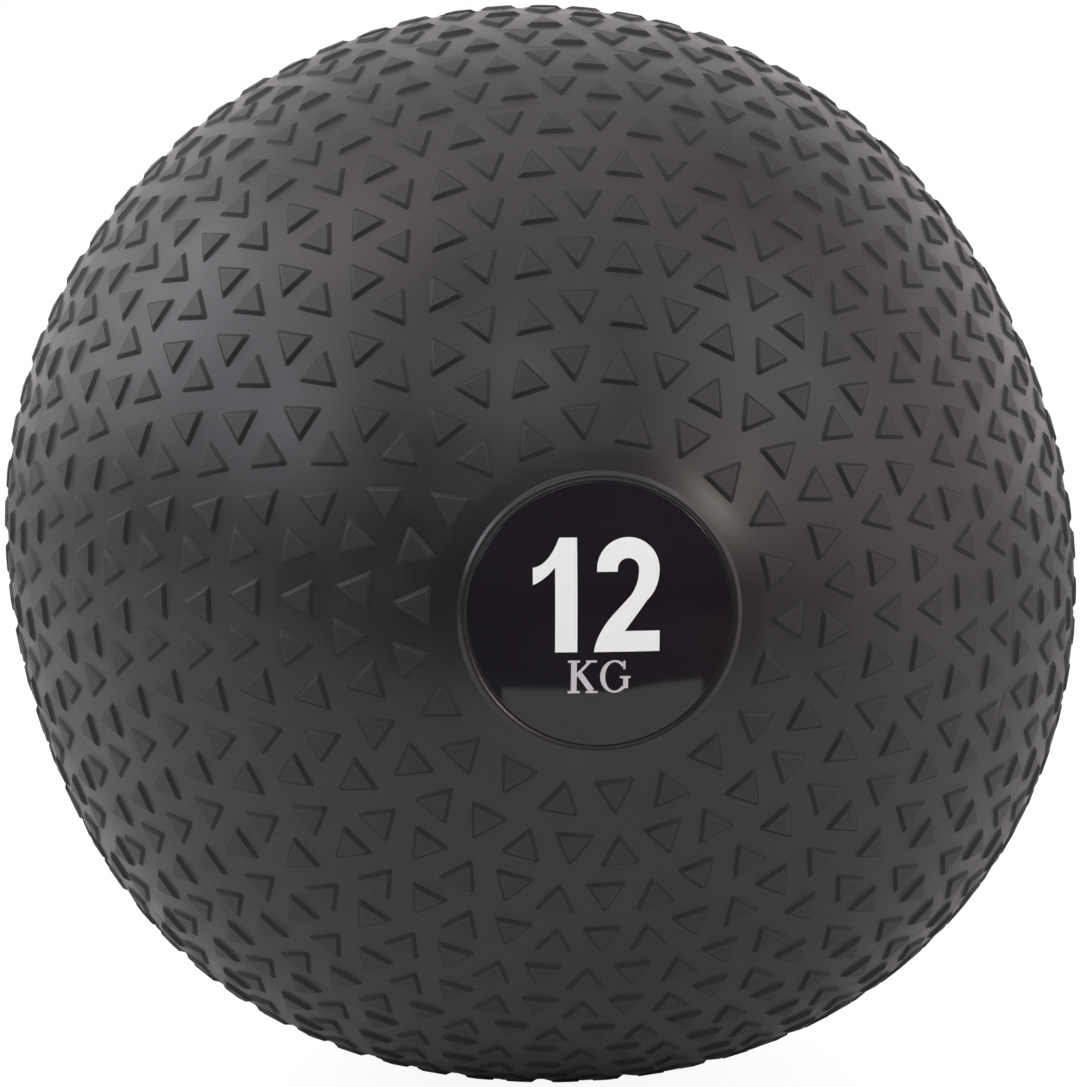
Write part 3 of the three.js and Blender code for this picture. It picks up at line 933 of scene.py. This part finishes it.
def dry_sand():
    """Washed silica sand: pale buff grains with some darker ones, quite dull."""
    sand_grain = 0.625 * MM
    material, tree, surface = material_of("dry_silica_sand")
    place = add(tree, "ShaderNodeTexCoord").outputs["Object"]
    grains = add(tree, "ShaderNodeTexVoronoi", None, {"Vector": place, "Scale": 1 / sand_grain}).outputs
    shade = add(tree, "ShaderNodeSeparateColor", None, {0: grains["Color"]}).outputs[0]
    tone = add(tree, "ShaderNodeMix", {"data_type": "RGBA"},
               {0: shade, 6: linear("#9c8158"), 7: linear("#cbb58e")}).outputs[2]
    tree.links.new(tone, surface.inputs["Base Color"])
    bump = add(tree, "ShaderNodeBump", {"invert": True},
               {"Height": grains["Distance"], "Strength": 0.8, "Distance": 0.3 * MM})
    tree.links.new(bump.outputs[0], surface.inputs["Normal"])
    surface.inputs["Roughness"].default_value = 0.9
    return material


# ---------------------------------------------------------------- the ball

def build_ball():
    """All nine pieces, each riding its body in place of its own CAD node."""
    pvc = moulded_pvc()
    gloss = gloss_disc()
    white_ink = screen_ink("white_screen_ink", "#f5f7f9", "#eef1f3")
    grey_ink = screen_ink("pale_grey_screen_ink", "#cfcdd4", "#bfbdc4")
    pieces = [
        (shell(pvc), "ball", "outer_shell", "shell"),
        (turned("front_disc", disc_profile(), -1, gloss), "ball", "weight_disc", "disc"),
        (turned("rear_disc", disc_profile(), 1, gloss), "ball", "blank_disc", "disc"),
        (turned("plug", plug_profile(), 1, plug_rubber()), "ball", "filler_plug", "plug"),
        (inked("one", digit_one(DIGIT_ONE), white_ink), "ball", "digit_one", "digits"),
        (inked("two", digit_two(DIGIT_TWO), white_ink), "ball", "digit_two", "digits"),
        (inked("k", letter_k(LETTER_K), grey_ink), "ball", "letter_k", "letters"),
        (inked("g", letter_g(LETTER_G), grey_ink), "ball", "letter_g", "letters"),
        (sand(dry_sand()), "fill", "sand_fill", "sand"),
    ]
    for piece, body, node, slot in pieces:
        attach(piece, body)
        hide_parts(node)


# ---------------------------------------------------------------- stage

CAMERA_DISTANCE = 7 * TREAD_RADIUS
CAMERA_AZIMUTH = -5.8
CAMERA_ELEVATION = 6.4
OUTLINE_SHARE = 0.4984          # of the picture's width, from the ball's middle to its outline
PICTURE_SHIFT = 0.0038          # of the picture's longer side; sets the ball a little low
FLOOR_REACH = 6                 # metres each way
FELT_EDGE = -0.40               # along Y, in metres; the mean edge is half a wave nearer to the camera
FELT_EDGE_WAVE = 0.06
FELT_WAVE_LENGTH = 111 * MM
FELT_BLUR = 5 * MM


def direction(azimuth, elevation):
    """Azimuth 0 is straight in front of the weight disc, and positive towards +X."""
    a, e = math.radians(azimuth), math.radians(elevation)
    return Vector((math.sin(a) * math.cos(e), -math.cos(a) * math.cos(e), math.sin(e)))


def camera():
    """A long lens a little left of the disc's axis and above it, with the ball filling the picture."""
    data = bpy.data.cameras.new("camera")
    made = bpy.data.objects.new("camera", data)
    bpy.context.scene.collection.objects.link(made)
    back = direction(CAMERA_AZIMUTH, CAMERA_ELEVATION)
    made.location = back * CAMERA_DISTANCE
    made.rotation_euler = (-back).to_track_quat("-Z", "Y").to_euler()
    width, height = 1080, 1087
    half_angle = math.asin(TREAD_RADIUS / CAMERA_DISTANCE)
    data.sensor_width = 36
    data.lens = data.sensor_width * OUTLINE_SHARE * width / height / math.tan(half_angle)
    data.shift_y = PICTURE_SHIFT
    data.dof.use_dof = False
    bpy.context.scene.camera = made


def softbox(name, azimuth, elevation, distance, width, height, power, colour):
    """A rectangular lamp that faces the ball's middle; the camera doesn't see it."""
    data = bpy.data.lights.new(name, "AREA")
    data.shape = "RECTANGLE"
    data.size = width
    data.size_y = height
    data.energy = power
    data.color = linear(colour)[:3]
    made = bpy.data.objects.new(name, data)
    away = direction(azimuth, elevation)
    made.location = away * distance
    made.rotation_euler = away.to_track_quat("Z", "Y").to_euler()
    made.visible_camera = False
    bpy.context.scene.collection.objects.link(made)


def lights():
    """Each lamp's azimuth and elevation in degrees, distance, width and height in metres, then watts."""
    softbox("left_softbox", -103, 31, 1.2, 0.7, 0.7, 5.0, "#f8f8ff")
    softbox("left_high_softbox", -75, 56, 1.3, 0.6, 0.6, 3.2, "#fff4f6")
    softbox("left_panel", -62, 26, 1.4, 0.5, 0.5, 5.0, "#f5f8ff")
    softbox("left_front_softbox", -44, 50, 1.3, 0.7, 0.7, 0.45, "#fffbff")
    softbox("front_high_softbox", -10, 38, 1.4, 0.6, 0.45, 3.0, "#fffafa")
    softbox("front_lamp", 33, 15.4, 1.6, 0.22, 0.22, 4.2, "#fff1e2")
    softbox("top_front_softbox", 12, 60, 1.3, 0.8, 0.4, 0.85, "#fffff4")
    softbox("top_softbox", 0, 86, 1.3, 1.0, 0.8, 3.5, "#fff8f7")
    softbox("right_front_softbox", 50, 38, 1.4, 0.9, 0.7, 4.4, "#fbfefe")
    softbox("right_high_softbox", 72, 52, 1.3, 0.6, 0.6, 0.95, "#ffe8e4")
    softbox("right_panel", 71, 12, 1.4, 0.8, 0.9, 3.45, "#fff5f4")
    softbox("right_softbox", 100, 20, 1.3, 0.6, 0.8, 0.9, "#fff2f0")


def surroundings():
    """Bright behind the ball and dark in front of it, as in a white cove with the lamps off behind the
    camera. The camera itself sees plain white."""
    world = bpy.data.worlds.new("cove")
    bpy.context.scene.world = world
    world.use_nodes = True
    tree = world.node_tree
    tree.nodes.clear()
    place = add(tree, "ShaderNodeTexCoord").outputs["Generated"]
    depth = add(tree, "ShaderNodeSeparateXYZ", None, {0: place}).outputs["Y"]
    glow = add(tree, "ShaderNodeMapRange", {"interpolation_type": "SMOOTHSTEP"},
               {"Value": depth, "From Min": -0.2, "From Max": 0.9, "To Min": 0.06, "To Max": 1.4})
    lit = add(tree, "ShaderNodeBackground", None, {"Strength": glow.outputs[0]})
    lit.inputs["Color"].default_value = linear("#fffbf8")
    seen = add(tree, "ShaderNodeBackground", None, {"Color": (1, 1, 1, 1), "Strength": 1.0})
    ray = add(tree, "ShaderNodeLightPath").outputs["Is Camera Ray"]
    both = add(tree, "ShaderNodeMixShader", None, {0: ray, 1: lit.outputs[0], 2: seen.outputs[0]})
    add(tree, "ShaderNodeOutputWorld", None, {"Surface": both.outputs[0]})


def floor():
    """A white floor that fades into the white behind. For mirrors, not for the camera, its part in front
    of the ball is black felt with an uneven edge, which darkens what the front disc shows."""
    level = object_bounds()[0].z
    corners = [(-1, -1), (1, -1), (1, 1), (-1, 1)]
    made = object_of("floor", [(x * FLOOR_REACH, y * FLOOR_REACH, level) for x, y in corners], [(0, 1, 2, 3)])
    material, tree, surface = material_of("painted_floor")
    place = add(tree, "ShaderNodeTexCoord").outputs["Object"]
    camera_ray = add(tree, "ShaderNodeLightPath").outputs["Is Camera Ray"]
    uneven = add(tree, "ShaderNodeTexNoise", None,
                 {"Vector": place, "Scale": 1 / FELT_WAVE_LENGTH, "Detail": 2.0}).outputs["Fac"]
    depth = add(tree, "ShaderNodeSeparateXYZ", None, {0: place}).outputs["Y"]
    edge = add(tree, "ShaderNodeMath", {"operation": "MULTIPLY_ADD"},
               {0: uneven, 1: FELT_EDGE_WAVE, 2: depth}).outputs[0]
    felt = add(tree, "ShaderNodeMapRange", None,
               {"Value": edge, "From Min": FELT_EDGE - FELT_BLUR, "From Max": FELT_EDGE + FELT_BLUR,
                "To Min": 1.0, "To Max": 0.0}).outputs[0]
    dark = add(tree, "ShaderNodeMath", {"operation": "SUBTRACT", "use_clamp": True},
               {0: felt, 1: camera_ray}).outputs[0]
    paint = add(tree, "ShaderNodeMix", {"data_type": "RGBA"},
                {0: dark, 6: linear("#e0e0e0"), 7: linear("#151515")}).outputs[2]
    tree.links.new(paint, surface.inputs["Base Color"])
    surface.inputs["Roughness"].default_value = 0.8
    glow = add(tree, "ShaderNodeEmission", None, {"Color": (1, 1, 1, 1), "Strength": 1.16})
    share = add(tree, "ShaderNodeMath", {"operation": "MULTIPLY"}, {0: camera_ray, 1: 0.8}).outputs[0]
    both = add(tree, "ShaderNodeMixShader", None, {0: share, 1: surface.outputs[0], 2: glow.outputs[0]})
    tree.links.new(both.outputs[0], tree.nodes["Material Output"].inputs["Surface"])
    made.data.materials.append(material)
    made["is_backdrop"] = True


build_ball()
camera()
lights()
surroundings()
floor()
bpy.context.scene.view_settings.view_transform = "Standard"
